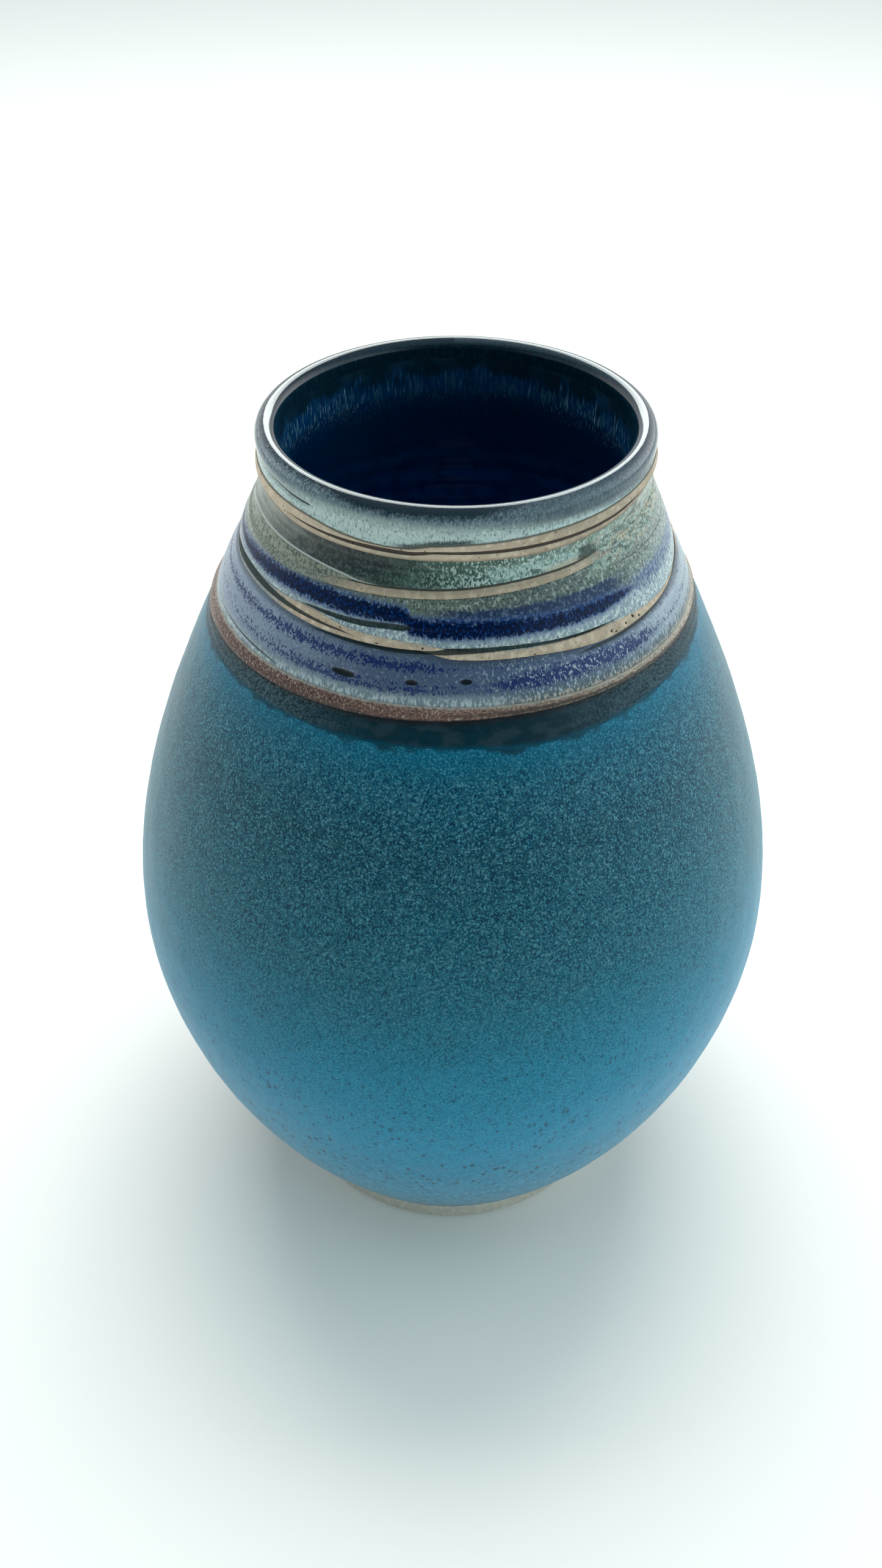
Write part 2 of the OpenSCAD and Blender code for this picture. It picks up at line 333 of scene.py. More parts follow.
class Paint:
    """Builds one procedural material from the angle round the vase and the depth below the crest."""

    def __init__(self, name):
        self.material = bpy.data.materials.new(name)
        self.material.use_nodes = True
        self.tree = self.material.node_tree
        self.shader = self.tree.nodes["Principled BSDF"]
        self.place = self.tree.nodes.new("ShaderNodeTexCoord").outputs["Object"]
        split = self.tree.nodes.new("ShaderNodeSeparateXYZ")
        self.tree.links.new(self.place, split.inputs[0])
        x, y, z = (Num(self.tree, output) for output in split.outputs)
        self.height = z / MM
        self.depth = self.height * -1.0 + CREST
        self.angle = x.op("ARCTAN2", y * -1.0) * math.degrees(1)
        self.turn_share = (self.angle + 180.0) / TURN
        self.axis_gap = (x * x + y * y).op("SQRT") / MM
        self.curves = {}

    def wander(self, curve):
        """The value of a Wander at each place."""
        if curve not in self.curves:
            node = curve.curve_node(self.tree)
            join(self.turn_share, node.inputs["Value"])
            self.curves[curve] = Num(self.tree, node.outputs[0]) * curve.span + curve.lowest
        return self.curves[curve]

    def stretched(self, tall, seed):
        """The place with heights squeezed, so that a grain made on it comes out tall, shifted by a seed."""
        node = self.tree.nodes.new("ShaderNodeMapping")
        node.inputs["Scale"].default_value = (1, 1, 1 / tall)
        node.inputs["Location"].default_value = (seed * 0.37, seed * 0.19, seed * 0.53)
        self.tree.links.new(self.place, node.inputs["Vector"])
        return node.outputs["Vector"]

    def grain(self, size, detail=2.0, tall=1.0, seed=0, distortion=0.0):
        """Cloudy noise from 0 to 1, mostly near 0.5, with features of about this size."""
        node = self.tree.nodes.new("ShaderNodeTexNoise")
        node.inputs["Scale"].default_value = 1 / (size * MM)
        node.inputs["Detail"].default_value = detail
        node.inputs["Distortion"].default_value = distortion
        self.tree.links.new(self.stretched(tall, seed), node.inputs["Vector"])
        return Num(self.tree, node.outputs[0])

    def cells(self, size, tall=1.0, seed=0):
        """Distance to the nearest of a scatter of points, from 0 at a point to about 1 between them."""
        node = self.tree.nodes.new("ShaderNodeTexVoronoi")
        node.inputs["Scale"].default_value = 1 / (size * MM)
        self.tree.links.new(self.stretched(tall, seed), node.inputs["Vector"])
        return Num(self.tree, node.outputs["Distance"])

    def ramp(self, value, *stops):
        """A colour that follows a number from 0 to 1."""
        node = self.tree.nodes.new("ShaderNodeValToRGB")
        elements = node.color_ramp.elements
        for _ in stops[2:]:
            elements.new(0.5)
        for element, (place, colour) in zip(elements, stops):
            element.position = place
            element.color = srgb(*colour)
        join(value, node.inputs[0])
        return Num(self.tree, node.outputs[0])

    def around(self, value, *stops):
        """A colour that follows an angle: (angle, colour) stops from -180 up, closed at the back."""
        stops = [((a + 180.0) / TURN, c) for a, c in stops]
        return self.ramp((value + 180.0) / TURN, *stops, (1.0, stops[0][1]))

    def band(self, centre, half, blur, wobble):
        """1 inside a level or wandering band about a depth, with a soft or broken edge."""
        return fade(abs(self.depth + wobble - centre), half + blur, half - blur)

    def between(self, upper, lower):
        """0 at one edge of a band and 1 at the other."""
        return (self.depth - self.wander(upper)) / (self.wander(lower) - self.wander(upper))

    def window(self, first, last, blur):
        """1 between two angles."""
        return fade(self.angle, first - blur, first + blur) * fade(self.angle, last + blur, last - blur)

    def marks(self, colour, top, bottom, wobble):
        """Adds the strokes and spots that lie between two depths."""
        for stroke in STROKES:
            if stroke.bottom < top or stroke.top > bottom:
                continue
            gap = abs(self.depth + wobble * 0.3 - self.wander(stroke.centre))
            share = fade(self.wander(stroke.half) - gap, 0.0, 0.12)
            colour = mix(colour, stroke.colour, share * 0.92)
        for spot in SPOTS:
            if not top - 1 < spot.depth < bottom + 1:
                continue
            across = (self.angle + wobble * 1.5 - spot.angle) / spot.half_w
            down = (self.depth + wobble * 0.4 - spot.depth) / spot.half_h
            share = fade(across * across + down * down, 1.15, 0.6)
            colour = mix(colour, spot.colour, share)
        return colour

    def done(self, colour, roughness, height, bump, gloss):
        """Joins the colour, the roughness and a bump of this many millimetres, and sets the gloss."""
        self.shader.inputs["Specular IOR Level"].default_value = gloss
        join(colour, self.shader.inputs["Base Color"])
        join(roughness, self.shader.inputs["Roughness"])
        node = self.tree.nodes.new("ShaderNodeBump")
        node.inputs["Strength"].default_value = 1.0
        node.inputs["Distance"].default_value = bump * MM
        join(height, node.inputs["Height"])
        self.tree.links.new(node.outputs["Normal"], self.shader.inputs["Normal"])
        return self.material


# ---------------------------------------------------------------- materials

CLAY = (184, 164, 142)
CLAY_PALE = (212, 192, 168)
CLAY_DARK = (104, 94, 82)
CELADON = (160, 178, 176)
CELADON_PALE = (192, 210, 206)
CELADON_DARK = (92, 118, 114)
LIP_NAVY = (0, 26, 38)
LIP_GREY = (76, 96, 106)


def lip_colour(paint, wobble):
    """Dark at the crest, through grey to celadon below; the dark edge is widest at the front."""
    outside = fade(paint.axis_gap, CREST_R - 0.2, CREST_R + 0.2)
    along = paint.depth * (outside * 2.0 - 1.0) + wobble
    mottle = paint.grain(0.8, 3.0, 2.2, 11)
    fine = paint.grain(0.32, 3.0, 2.2, 12)
    pale = mix(CELADON, CELADON_PALE, fade(along + (mottle - 0.5) * 4.0, 3.4, 5.0) * 0.8)
    pale = mix(pale, CELADON_PALE, fade(mottle, 0.5, 0.7) * 0.45)
    pale = mix(pale, CELADON_DARK, fade(fine, 0.5, 0.68) * 0.8)
    grey = mix(LIP_GREY, (124, 140, 146), fade(fine, 0.4, 0.65))
    grey = mix(grey, (52, 68, 78), fade(mottle, 0.56, 0.68) * 0.8)
    dark_to = paint.wander(Wander(
        (-180, 0.9), (-110, 0.4), (-60, 0.3), (-40, 0.4), (-24, 1.2), (0, 1.2), (12, 0.7), (26, 0.3),
        (60, 0.5), (100, 0.8), (140, 1.0)))
    grey_to = paint.wander(Wander(
        (-180, 2.7), (-90, 3.4), (-62, 3.1), (-40, 2.3), (0, 2.8), (20, 3.2), (34, 3.8), (48, 4.4),
        (90, 4.2), (140, 2.8)))
    colour = mix(LIP_NAVY, grey, fade(along - dark_to, -0.55, 0.7))
    colour = mix(colour, pale, fade(along - grey_to, -1.0, 1.0))
    colour = mix(colour, (58, 74, 84), fade(paint.angle, 2.0, 30.0) * fade(along, 5.6, 3.2) * 0.55)
    inside = mix((8, 32, 44), (16, 44, 56), fade(mottle, 0.45, 0.7))
    return mix(inside, colour, fade(along, -1.0, 0.0)), fine


def lip_material():
    paint = Paint("lip_glaze")
    wobble = (paint.grain(0.4, 3.0, 3.0, 13) - 0.5) * 1.6
    colour, fine = lip_colour(paint, wobble)
    colour = paint.marks(colour, 2.5, 4.0, wobble * 0.1)
    return paint.done(colour, 0.07, fine, 0.01, 0.27)


def celadon_material():
    paint = Paint("celadon_glaze")
    wobble = (paint.grain(0.4, 3.0, 3.0, 13) - 0.5) * 1.6
    colour, fine = lip_colour(paint, wobble)
    edge = paint.wander(CELADON_EDGE) - paint.depth
    smear = paint.window(-16, 4, 3) * fade(edge + wobble * 0.5, 1.3, 0.5)
    colour = mix(colour, (34, 50, 50), smear * 0.9)
    colour = mix(colour, (96, 108, 102), fade(edge + wobble * 0.2, 0.35, 0.05) * 0.8)
    colour = paint.marks(colour, 3.0, 8.0, wobble * 0.1)
    return paint.done(colour, 0.24, fine, 0.035, 0.3)


def clay_colour(paint):
    """Bare clay, rubbed warm on the ridges, with iron specks."""
    mottle = paint.grain(1.6, 3.0, 1.0, 21)
    fine = paint.grain(0.4, 2.0, 1.0, 22)
    colour = mix(CLAY, CLAY_PALE, fade(mottle, 0.45, 0.65))
    colour = mix(colour, CLAY_DARK, fade(fine, 0.56, 0.75) * 0.6)
    colour = mix(colour, (142, 134, 118), fade(paint.angle, 8.0, 40.0) * 0.4)
    upper = fade(paint.depth, 11.5, 10.5)
    colour = mix(colour, (220, 202, 178), fade(paint.angle, 24.0, -10.0) * upper * 0.45)
    colour = mix(colour, (150, 138, 118), fade(paint.depth, 14.0, 15.0) * fade(paint.depth, 20.0, 18.0) * 0.4)
    speck = fade(paint.cells(1.7, 1.0, 23), 0.16, 0.06)
    return mix(colour, (74, 62, 52), speck * 0.8), fine


def run_together(paint):
    """Green, cream and pale celadon run together on the right of the neck: the colour, and where it is."""
    fleck = paint.grain(0.34, 3.0, 2.0, 35)
    smudge = paint.grain(1.8, 3.0, 0.35, 36)
    warm = paint.grain(2.6, 2.0, 0.4, 37)
    colour = mix((84, 102, 94), (150, 168, 158), fade(smudge, 0.4, 0.6))
    colour = mix(colour, (178, 164, 140), fade(warm, 0.52, 0.62) * 0.7)
    colour = mix(colour, (192, 208, 200), fade(fleck, 0.53, 0.66) * 0.7)
    colour = mix(colour, (40, 56, 50), fade(fleck, 0.45, 0.35) * 0.7)
    near = fade(paint.angle + (smudge - 0.5) * 24.0, 33.0, 43.0)
    return colour, near * fade(paint.angle, 128.0, 104.0)


def clay_material():
    paint = Paint("bare_clay")
    wobble = (paint.grain(0.8, 3.0, 1.0, 24) - 0.5) * 1.2
    colour, fine = clay_colour(paint)
    # glaze that crept over the ends of the ridges
    olive = mix((128, 140, 130), (72, 86, 82), fade(fine, 0.45, 0.6))
    left = fade(paint.angle + wobble * 9.0, -24.0, -40.0) * fade(paint.angle, -118.0, -100.0)
    middle = paint.band(paint.wander(GREEN_EDGE) * 0.5 + paint.wander(RIDGE_2_EDGE) * 0.5, 1.8, 0.3, 0.0)
    colour = mix(colour, olive, middle * left * 0.88)
    mixed, near = run_together(paint)
    colour = mix(colour, mixed, middle * near * 0.92)
    film = mix((140, 152, 152), (108, 120, 126), fade(fine, 0.42, 0.62))
    lower = fade(paint.depth, 22.0, 22.6)
    colour = mix(colour, film, lower * fade(paint.angle + wobble * 10.0, -40.0, -56.0) * 0.85)
    edge_gap = abs(paint.depth - paint.wander(CELADON_EDGE))
    edge_gap = edge_gap.least(abs(paint.depth - paint.wander(RIDGE_1_EDGE)))
    colour = mix(colour, (96, 88, 76), fade(edge_gap + wobble * 0.1, 0.28, 0.05) * 0.75)
    # Painted shade on the lower, downward-facing part of the upper ridge.
    under = fade(paint.wander(RIDGE_1_EDGE) - paint.depth, 1.0, 0.3) * fade(paint.depth, 10.6, 10.2)
    colour = mix(colour, (116, 106, 92), under * 0.5)
    colour = paint.marks(colour, 4.0, 29.0, wobble * 0.08)
    return paint.done(colour, 0.62, fine, 0.05, 0.2)


def foot_material():
    paint = Paint("foot_clay")
    colour, fine = clay_colour(paint)
    turning = paint.grain(0.5, 1.0, 0.12, 26)
    colour = mix(colour, (206, 210, 200), fade(turning, 0.4, 0.6) * 0.3 + 0.35)
    return paint.done(colour, 0.85, fine + turning, 0.07, 0.2)


def green_material():
    paint = Paint("green_glaze")
    fine = paint.grain(0.34, 3.0, 2.0, 31)
    speck = paint.grain(0.6, 2.0, 1.4, 34)
    broad = paint.grain(3.5, 2.0, 0.6, 32)
    wobble = (paint.grain(0.7, 3.0, 2.0, 33) - 0.5) * 1.6
    share = paint.between(RIDGE_1_EDGE, GREEN_EDGE)
    colour = paint.around(paint.angle + (broad - 0.5) * 40.0,
                          (-180, (96, 112, 106)), (-120, (110, 122, 114)), (-84, (120, 130, 122)),
                          (-66, (122, 128, 116)), (-52, (92, 98, 92)), (-40, (50, 56, 56)),
                          (-24, (24, 34, 40)),
                          (-14, (44, 64, 58)), (2, (76, 102, 94)), (20, (142, 168, 160)),
                          (44, (116, 140, 130)), (80, (134, 154, 146)), (130, (112, 128, 120)))
    right = fade(paint.angle, -16.0, 8.0)
    deep = fade(share + wobble * 0.15, 0.55, 0.15) * right
    colour = mix(colour, (56, 84, 72), deep * fade(paint.angle, 60.0, 0.0) * 0.85)
    flecks = fade(fine + (speck - 0.5) * 0.6 + share * 0.12, 0.53, 0.68) * (right * 0.85 + 0.1)
    colour = mix(colour, (184, 202, 194), flecks)
    colour = mix(colour, (48, 70, 62), fade(fine, 0.46, 0.32) * 0.7)
    warm = fade(broad, 0.52, 0.66) * fade(paint.angle, 24.0, 50.0)
    colour = mix(colour, (168, 160, 140), warm * 0.45)
    below = fade(paint.depth + wobble * 0.3, 14.7, 15.4) * fade(paint.angle, -18.0, -30.0)
    olive = mix((138, 142, 126), (80, 90, 84), fade(speck, 0.44, 0.62))
    colour = mix(colour, olive, below * fade(paint.angle, -130.0, -110.0))
    mixed, near = run_together(paint)
    colour = mix(colour, mixed, near * fade(share + wobble * 0.2, 0.2, 0.55) * 0.92)
    cream = fade(share + wobble * 0.2, 0.62, 0.9) * paint.window(24, 36, 4)
    colour = mix(colour, (176, 166, 144), cream * 0.85)
    for angle, depth, wide, tall, dark in ((37, 12.6, 3.6, 1.5, (36, 54, 50)),
                                           (21, 13.3, 2.0, 0.5, (76, 94, 86)),
                                           (-71, 11.0, 5.0, 1.4, (60, 66, 64)),
                                           (58, 9.6, 1.6, 1.4, (60, 78, 74))):
        across = (paint.angle + wobble * 5.0 - angle) / wide
        down = (paint.depth + wobble * 0.7 - depth) / tall
        colour = mix(colour, dark, fade(across * across + down * down, 1.5, 0.3) * 0.85)
    colour = paint.marks(colour, 6.0, 18.0, wobble * 0.1)
    return paint.done(colour, 0.28, fine, 0.04, 0.22)


COBALT = (0, 15, 46)
COBALT_LIT = (6, 56, 118)


def cobalt_material():
    paint = Paint("cobalt_glaze")
    fine = paint.grain(0.34, 3.0, 2.2, 41)
    speck = paint.grain(0.55, 2.0, 1.6, 42)
    broad = paint.grain(4.0, 2.0, 0.5, 43)
    wobble = (paint.grain(0.6, 4.0, 2.2, 44) - 0.5) * 3.0
    # olive glaze above the cobalt
    olive = paint.around(paint.angle + (broad - 0.5) * 30.0,
                         (-180, (104, 114, 112)), (-90, (150, 160, 150)), (-50, (172, 174, 154)),
                         (-28, (118, 126, 110)), (-8, (104, 116, 106)), (20, (96, 106, 104)),
                         (44, (104, 118, 110)), (70, (140, 154, 152)), (130, (110, 122, 122)))
    colour = mix(olive, (48, 62, 66), fade(fine, 0.49, 0.62) * 0.85)
    colour = mix(colour, (180, 188, 174), fade(speck, 0.53, 0.67) * 0.6)
    mixed, near = run_together(paint)
    below = paint.depth - paint.wander(RIDGE_2_EDGE)
    colour = mix(colour, mixed, near * fade(below + wobble * 0.4, 3.2, 1.4) * 0.9)
    # lavender grey veil over the right of the cobalt
    veil = paint.window(-4, 46, 6) * paint.band(19.8, 1.5, 0.5, wobble * 0.5)
    mauve = mix((30, 48, 82), (74, 92, 118), fade(speck, 0.48, 0.66))
    colour = mix(colour, mauve, veil * 0.9)
    # pale blue glaze below it
    pale = mix((142, 158, 162), (194, 206, 204), fade(speck, 0.45, 0.62))
    pale = mix(pale, (82, 104, 138), fade(fine, 0.52, 0.66) * 0.8)
    centre = paint.wander(Wander(
        (-180, 21.5), (-120, 22.0), (-81, 21.5), (-57, 20.5), (-32, 19.8), (-13, 19.9), (-11, 21.4),
        (17, 21.9), (36, 22.2), (50, 22.2), (90, 22.0), (140, 21.6)))
    half = paint.wander(Wander(
        (-180, 1.3), (-120, 0.8), (-81, 0.8), (-57, 1.2), (-32, 1.5), (-12, 1.4), (-9, 1.6), (17, 1.35),
        (36, 1.2), (46, 0.6), (56, 0.0), (90, 0.0), (130, 1.1)))
    colour = mix(colour, pale, fade(paint.depth + wobble * 0.4 - centre, -0.4, 0.9))
    lavender = fade(paint.angle + wobble * 5.0, 44.0, 56.0) * fade(paint.angle, 128.0, 104.0)
    blue = mix((74, 94, 128), (134, 150, 158), fade(speck, 0.42, 0.6))
    colour = mix(colour, blue, lavender * paint.band(22.2, 1.6, 0.8, wobble))
    # the cobalt itself, broken into specks along both edges
    gap = half - abs(paint.depth + wobble * 0.5 - centre)
    cobalt = mix(COBALT, COBALT_LIT, fade(fine + (speck - 0.5) * 0.4, 0.5, 0.66) * 0.85)
    light = fade(speck + fine * 0.5, 0.8, 0.94) * fade(gap, 0.9, 0.1)
    cobalt = mix(cobalt, (124, 150, 178), light * (fade(paint.angle, 10.0, -20.0) * 0.35 + 0.5))
    halo = mix((28, 62, 118), (120, 140, 162), fade(fine, 0.44, 0.62))
    beside = fade(gap + (speck - 0.5) * 1.6, -1.1, 0.1)
    colour = mix(colour, halo, beside * (fade(half, 0.0, 0.6) * 0.6 + 0.2))
    colour = mix(colour, cobalt, fade(gap + (fine - 0.5) * 2.4, -0.2, 0.3) * fade(half, 0.0, 0.5))
    colour = paint.marks(colour, 14.0, 27.5, wobble * 0.06)
    return paint.done(colour, 0.26, fine, 0.04, 0.12)


def lavender_material():
    paint = Paint("lavender_glaze")
    fine = paint.grain(0.34, 3.0, 1.8, 51)
    speck = paint.grain(0.6, 2.0, 1.5, 52)
    streak = paint.grain(0.5, 2.0, 5.0, 53)
    wobble = (paint.grain(0.7, 4.0, 1.6, 54) - 0.5) * 2.2
    broad = paint.grain(5.0, 2.0, 0.5, 55)
    # Blue-grey glaze that darkens at the front; the paler sides are painted sheen.
    tone_and_side_sheen = paint.around(paint.angle + (broad - 0.5) * 30.0,
                        (-180, (92, 104, 124)), (-90, (134, 150, 168)), (-50, (124, 140, 158)),
                        (-20, (80, 94, 116)), (10, (70, 88, 112)), (36, (88, 104, 126)),
                        (60, (138, 154, 164)), (90, (154, 168, 176)))
    colour = mix(tone_and_side_sheen, (44, 60, 96), fade(fine, 0.5, 0.68) * 0.6)
    colour = mix(colour, (152, 166, 178), fade(speck, 0.54, 0.7) * 0.5)
    # pale grey-blue zone at the bottom, drawn down into streaks
    up = paint.wander(LAVENDER_EDGE) - paint.depth
    grey = mix((116, 134, 140), (184, 196, 196), fade(streak, 0.42, 0.62))
    grey = mix(grey, (52, 66, 72), fade(paint.angle, 0.0, 20.0) * 0.75)
    colour = mix(colour, grey, fade(up + (streak - 0.5) * 4.5, 2.8, 1.2) * 0.85)
    # rows of cobalt flecks
    rows = (
        (Wander((-180, 29.2), (-80, 28.6), (-40, 28.1), (-2, 28.3), (60, 28.8)),
         Wander((-180, 0.4), (-84, 0.6), (-40, 0.9), (-8, 0.7), (2, 0), (90, 0), (150, 0.3)), 1.0),
        (Wander((-180, 31.6), (-60, 32.4), (-12, 32.2), (20, 32.0)),
         Wander((-180, 0.3), (-80, 0), (-58, 0.3), (-30, 0.6), (-10, 0.45), (2, 0.1), (20, 0), (120, 0)),
         0.9),
        (Wander((0, 31.2), (30, 30.9), (52, 31.4)),
         Wander((3, 0), (8, 0.6), (24, 1.6), (44, 1.5), (54, 0.4), (60, 0)), 1.0),
    )
    for centre, half, strength in rows:
        gap = paint.wander(half) - abs(paint.depth + wobble * 0.5 - paint.wander(centre))
        flecks = fade(gap * 0.3 + (speck - 0.5) * 1.3 + (fine - 0.5) * 1.3, 0.0, 0.12)
        near = fade(gap, -0.9, 0.0)
        colour = mix(colour, (6, 30, 88), flecks * near * strength * 0.9)
    bright = paint.window(6, 66, 10) * fade(fine + (streak - 0.5) * 0.8, 0.56, 0.7)
    colour = mix(colour, (190, 204, 212), bright * 0.6)
    top = paint.depth - paint.wander(RIDGE_3_EDGE)
    colour = mix(colour, (56, 66, 80), fade(top + wobble * 0.3, 1.3, 0.2) * 0.7)
    warm = fade(up + wobble * 0.6, 1.3, 0.2) * fade(paint.angle, 4.0, 24.0)
    warm = warm * fade(paint.angle, 120.0, 90.0)
    colour = mix(colour, (172, 160, 142), warm * fade(streak, 0.4, 0.56) * 0.9)
    colour = paint.marks(colour, 25.0, 37.0, wobble * 0.06)
    return paint.done(colour, 0.28, fine, 0.04, 0.2)


def copper_material():
    paint = Paint("copper_glaze")
    fine = paint.grain(0.4, 3.0, 2.0, 61)
    drawn = paint.grain(0.7, 3.0, 0.2, 62)
    broad = paint.grain(5.0, 2.0, 0.5, 63)
    wobble = (paint.grain(0.9, 3.0, 1.2, 64) - 0.5) * 1.6
    colour = paint.around(paint.angle + (broad - 0.5) * 30.0,
                          (-180, (112, 92, 84)), (-100, (130, 110, 100)), (-78, (114, 90, 82)),
                          (-62, (90, 64, 58)), (-30, (94, 70, 64)), (0, (132, 100, 88)),
                          (14, (122, 100, 86)), (34, (134, 120, 104)), (70, (158, 148, 132)),
                          (110, (140, 128, 114)))
    colour = mix(colour, (52, 36, 34), fade(drawn, 0.47, 0.6) * 0.75)
    colour = mix(colour, (190, 174, 158), fade(fine, 0.52, 0.66) * 0.5)
    # a dark line along the middle, clearest on the right
    across = paint.between(LAVENDER_EDGE, COPPER_EDGE)
    line = fade(abs(across + wobble * 0.12 - 0.5), 0.2, 0.08) * fade(paint.angle, -20.0, 20.0)
    colour = mix(colour, (58, 52, 50), line * 0.85)
    down = paint.wander(COPPER_EDGE) - paint.depth
    colour = mix(colour, (28, 30, 34), fade(down + wobble * 0.6, 0.9, 0.1) * 0.9)
    up = paint.depth - paint.wander(LAVENDER_EDGE)
    colour = mix(colour, (160, 164, 156), fade(up + wobble * 0.5, 0.5, 0.0) * 0.6)
    return paint.done(colour, 0.4, drawn + fine, 0.05, 0.2)


IRON = (8, 40, 50)


def iron_material():
    paint = Paint("iron_glaze")
    fine = paint.grain(0.45, 3.0, 1.2, 71)
    cloud = paint.grain(5.0, 3.0, 0.5, 72)
    wobble = (paint.grain(3.0, 3.0, 1.0, 73) - 0.5) * 2.4
    colour = mix(IRON, (32, 54, 64), fade(cloud, 0.44, 0.66))
    teal = paint.window(-30, 10, 8) * fade(paint.depth, 38.6, 40.0)
    colour = mix(colour, (4, 46, 58), teal * fade(cloud, 0.6, 0.45) * 0.8)
    top = paint.depth - paint.wander(COPPER_EDGE)
    colour = mix(colour, (34, 32, 34), fade(top + wobble * 0.3, 1.1, 0.1) * 0.7)
    # Painted sheen: paler flecks towards both sides of the band, stronger on the left.
    sides = fade(abs(paint.angle), 16.0, 44.0)
    lit = fade(paint.angle, 50.0, -20.0) * 0.25 + 0.55
    colour = mix(colour, (76, 98, 106), fade(fine, 0.38, 0.62) * sides * lit)
    colour = mix(colour, (70, 84, 90), fade(fine, 0.62, 0.76) * 0.3)
    up = paint.wander(IRON_EDGE) - paint.depth
    colour = mix(colour, (0, 72, 92), fade(up + wobble * 0.35, 0.9, -0.3) * 0.9)
    return paint.done(colour, 0.36, fine, 0.035, 0.1)


def turquoise_material():
    paint = Paint("turquoise_glaze")
    crystals = paint.grain(0.5, 3.0, 1.2, 81)
    clumps = paint.grain(1.4, 3.0, 1.1, 85)
    fine = paint.grain(0.32, 2.0, 1.0, 82)
    cloud = paint.grain(14.0, 3.0, 0.7, 83)
    lower = fade(paint.height + (cloud - 0.5) * 30.0 + (clumps - 0.5) * 10.0, 158.0, 110.0)
    share = (paint.height + (cloud - 0.5) * 10.0) / high("turquoise_glaze")
    colour = paint.ramp(share, (0.0, (0, 84, 100)), (0.14, (0, 110, 136)), (0.3, (0, 124, 158)),
                        (0.48, (0, 132, 168)), (0.6, (0, 122, 152)), (0.74, (4, 96, 114)),
                        (0.9, (0, 62, 77)), (0.965, (0, 82, 104)), (1.0, (0, 96, 122)))
    # grey crystals with dark teal between them, closest on the shoulder
    upper = (lower * -1.0 + 1.0) * fade(paint.height, 188.0, 178.0)
    colour = mix(colour, (46, 90, 100), fade(clumps, 0.44, 0.62) * upper * 0.5)
    dark = fade(crystals + (clumps - 0.5) * 0.4, 0.5, 0.36)
    pale = fade(crystals + (fine - 0.5) * 0.3, 0.53, 0.66)
    colour = mix(colour, (0, 48, 68), dark * (upper * 0.6 + 0.44))
    colour = mix(colour, (88, 138, 148), pale * (upper * 0.46 + 0.26))
    colour = mix(colour, (76, 164, 192), fade(fine, 0.52, 0.68) * 0.45)
    low = fade(paint.height + (cloud - 0.5) * 30.0, 90.0, 45.0)
    coarse = paint.grain(1.2, 3.0, 2.2, 87)
    colour = mix(colour, (0, 80, 104), fade(coarse, 0.5, 0.38) * low * 0.6)
    colour = mix(colour, (70, 160, 188), fade(coarse, 0.54, 0.68) * low * 0.4)
    colour = mix(colour, (0, 56, 72), fade(paint.height, 52.0, 16.0) * 0.5)
    # burst pits, more of them towards the foot
    near = paint.cells(2.9, 1.8, 84) + (fine - 0.5) * 0.14
    pits = fade(near, 0.24, 0.13) * fade(paint.height + (cloud - 0.5) * 60.0, 130.0, 70.0)
    dots = fade(paint.cells(2.2, 1.8, 86) + (fine - 0.5) * 0.1, 0.2, 0.1)
    colour = mix(colour, (0, 74, 96), pits.most(dots * 0.8))
    foot = fade(paint.height + (clumps - 0.5) * 2.0, FOOT_H + 7.0, FOOT_H + 0.4)
    colour = mix(colour, (20, 68, 76), foot * 0.75)
    # the iron glaze has crept over the top edge
    creep = paint.grain(4.0, 1.0, 1.0, 88)
    edge = paint.depth - paint.wander(IRON_EDGE) + (creep - 0.5) * 5.0 + (fine - 0.5) * 0.5
    colour = mix(colour, (2, 52, 66), fade(edge, 0.9, -0.4) * 0.9)
    paint.shader.inputs["Sheen Weight"].default_value = 0.165
    paint.shader.inputs["Sheen Roughness"].default_value = 0.4
    paint.shader.inputs["Sheen Tint"].default_value = (0.8, 0.95, 1.0, 1.0)
    bump = crystals + fine * 0.5 - pits * 0.6
    return paint.done(colour, fade(crystals, 0.3, 0.7) * 0.14 + 0.34, bump, 0.05, 0.12)


def liner_colour(paint):
    """Navy inside, with a broken ring of paler drips under a dark ring."""
    run = paint.grain(0.6, 3.0, 6.0, 91)
    thread = paint.grain(0.34, 2.0, 8.0, 93)
    cloud = paint.grain(5.0, 2.0, 1.0, 92)
    down = paint.depth + (run - 0.5) * 9.0 + (cloud - 0.5) * 8.0
    navy = mix((0, 48, 84), (0, 96, 166), fade(paint.depth, 14.0, 50.0))
    navy = mix(navy, (0, 52, 100), fade(cloud, 0.4, 0.65) * 0.5)
    ring = mix((10, 36, 48), (20, 50, 64), fade(cloud, 0.45, 0.65))
    drips = mix(navy, (40, 88, 104), fade(run, 0.48, 0.66) * 0.65)
    # Paler drip threads away from the back: the drips are real, their extra paleness towards the sides is
    # painted reflection.
    sides = fade(abs(paint.angle), 165.0, 125.0) * 0.45 + 0.12
    drips = mix(drips, (140, 176, 196), fade(thread, 0.55, 0.7) * sides)
    zone = fade(down, 7.0, 9.5) * fade(down, 17.5, 11.5)
    return mix(mix(navy, ring, fade(down, 9.0, 5.5)), drips, zone), run


def liner_material():
    paint = Paint("liner_glaze")
    colour, run = liner_colour(paint)
    return paint.done(colour, 0.12, run, 0.015, 0.4)


def drip_material():
    paint = Paint("drip_glaze")
    colour, run = liner_colour(paint)
    return paint.done(colour, 0.1, run, 0.03, 0.4)


# ---------------------------------------------------------------- shapes

RIDGE_2_RISE = Wander(
    (-180, 0.4), (-100, 0.25), (-56, 0.2), (-34, 0.4), (28, 0.4), (42, 0.08), (104, 0.08), (136, 0.35))

